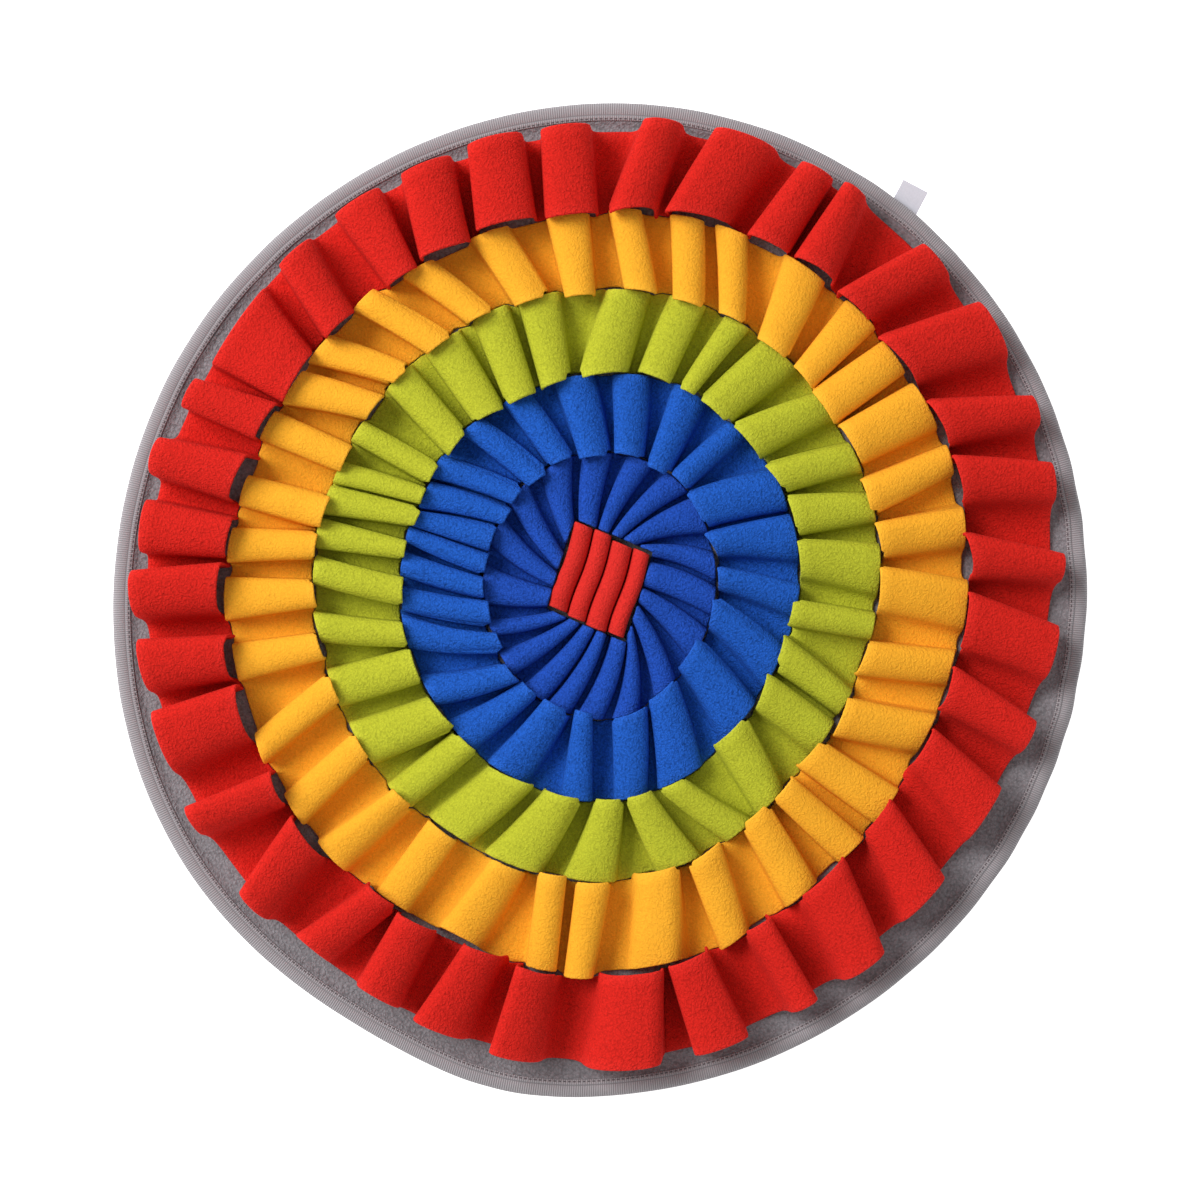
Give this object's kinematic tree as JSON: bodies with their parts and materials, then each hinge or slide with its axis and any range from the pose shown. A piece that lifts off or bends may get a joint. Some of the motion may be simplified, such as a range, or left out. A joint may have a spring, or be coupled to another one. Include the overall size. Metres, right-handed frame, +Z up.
{
  "type": "snuffle mat",
  "caption": "Round fleece snuffle mat for a pet: concentric rings of gathered fabric loops sewn on a flat base with a taped edge and a pleated middle.",
  "frame": {"origin": "centre of the bounding box at floor level, under the mat", "axes": "+Z up out of the loops, +Y to the top of the mat as pictured, +X to the right"},
  "size_m": [0.561, 0.5724, 0.0372],
  "materials": {
    "base_fleece": "brushed fleece",
    "edge_tape": "ribbed tape",
    "label_tape": "smooth tape",
    "red_fleece": "fleece",
    "yellow_fleece": "fleece",
    "green_fleece": "fleece",
    "blue_fleece": "fleece",
    "royal_fleece": "fleece"
  },
  "bodies": {
    "root": {"base": "base_fleece", "binding": "edge_tape", "label": "label_tape", "ring_red": "red_fleece", "ring_yellow": "yellow_fleece", "ring_green": "green_fleece", "ring_blue": "blue_fleece", "ring_royal": "royal_fleece", "centre": "red_fleece"}
  },
  "joints": []
}
